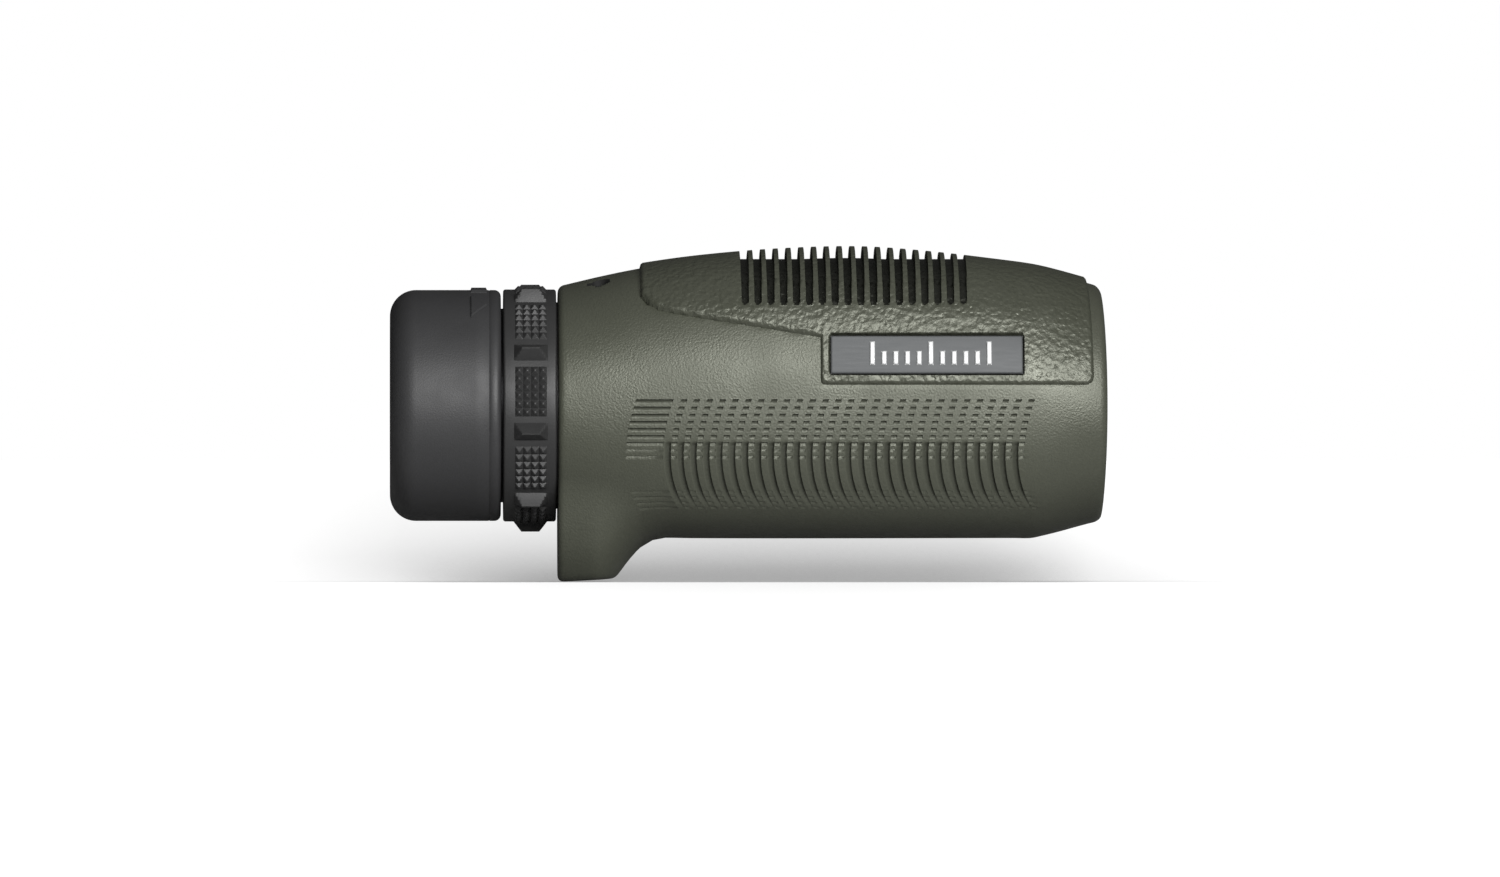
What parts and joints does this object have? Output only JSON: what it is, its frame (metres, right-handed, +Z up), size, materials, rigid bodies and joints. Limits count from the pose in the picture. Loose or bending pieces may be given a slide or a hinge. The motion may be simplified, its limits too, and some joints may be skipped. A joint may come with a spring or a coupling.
{
  "type": "monocular",
  "caption": "Rubber-armoured roof-prism monocular with a focus ring, a twist-up eyecup, a ribbed top grip and a keel-like foot.",
  "frame": {"origin": "centre of the objective cell's mouth, on the optical axis", "axes": "+X along the optical axis towards the view, +Z up through the ribbed crown, +Y to the user's left"},
  "size_m": [0.123, 0.0464, 0.0579],
  "materials": {
    "armour_rubber": "smooth matte olive green moulded rubber",
    "grip_rubber": "leather-grained dark olive green rubber",
    "black_rubber": "satin black rubber",
    "housing_alloy": "satin anodised",
    "black_metal": "matte black anodised",
    "black_plastic": "matte moulded plastic",
    "plate": "brushed grey anodised",
    "steel": "fine brushed",
    "glass": "polished optical glass",
    "coated_glass": "polished, with an anti-reflection coating"
  },
  "bodies": {
    "body": {"main_housing": "housing_alloy", "body_armour": "armour_rubber", "grip_panel": "grip_rubber", "name_plate_left": "plate", "name_plate_right": "plate", "objective_cell": "black_metal", "objective_crown_lens": "coated_glass", "objective_flint_lens": "glass", "objective_retaining_ring": "black_metal", "objective_seal_ring": "black_rubber", "light_baffle": "black_metal", "prism_cage": "black_metal", "pechan_prism": "glass", "roof_prism": "glass", "prism_gap_shims": "steel", "prism_springs": "steel", "cage_clamp_ring": "black_metal", "ocular_housing": "black_metal", "ocular_housing_seal": "black_rubber", "ocular_lock_screws": "steel", "field_stop": "black_metal", "eyepiece_flint_lens": "glass", "eyepiece_crown_lens": "glass", "eyepiece_spacer": "black_metal", "eye_lens": "coated_glass", "eye_lens_seal": "black_rubber", "eye_lens_retaining_ring": "black_metal", "eyecup_guide_pins": "steel", "focus_circlip": "steel", "focus_friction_washer": "black_plastic", "focus_seal_rings": "black_rubber", "purge_screw": "steel", "purge_screw_seal": "black_rubber"},
    "focus_ring": {"focus_ring_core": "housing_alloy", "focus_ring_grip": "black_rubber"},
    "focus_lens_group": {"focus_lens_cell": "black_metal", "focus_lens": "glass", "focus_lens_retainer": "black_metal", "focus_drive_pins": "steel"},
    "eyecup_glide": {"eyecup_glide_ring": "black_plastic"},
    "eyecup": {"eyecup_sleeve": "black_metal", "eyecup_rubber": "black_rubber"}
  },
  "joints": [
    {"name": "focus_turn", "type": "hinge", "parent": "body", "child": "focus_ring", "pos_m": [-0.0964, 0, 0], "axis": [1, 0, 0], "range_deg": [-85, 85]},
    {"name": "focus_travel", "type": "slide", "parent": "body", "child": "focus_lens_group", "axis": [1, 0, 0], "range_m": [-0.0015, 0.0015]},
    {"name": "eyecup_slide", "type": "slide", "parent": "body", "child": "eyecup_glide", "axis": [-1, 0, 0], "range_m": [0, 0.008]},
    {"name": "eyecup_twist", "type": "hinge", "parent": "eyecup_glide", "child": "eyecup", "pos_m": [-0.11, 0, 0], "axis": [-1, 0, 0], "range_deg": [0, 100]}
  ],
  "couplings": [
    {"joint": "focus_travel", "follows": "focus_turn", "m_per_rad": 0.0010111},
    {"joint": "eyecup_slide", "follows": "eyecup_twist", "m_per_rad": 0.0045836}
  ]
}
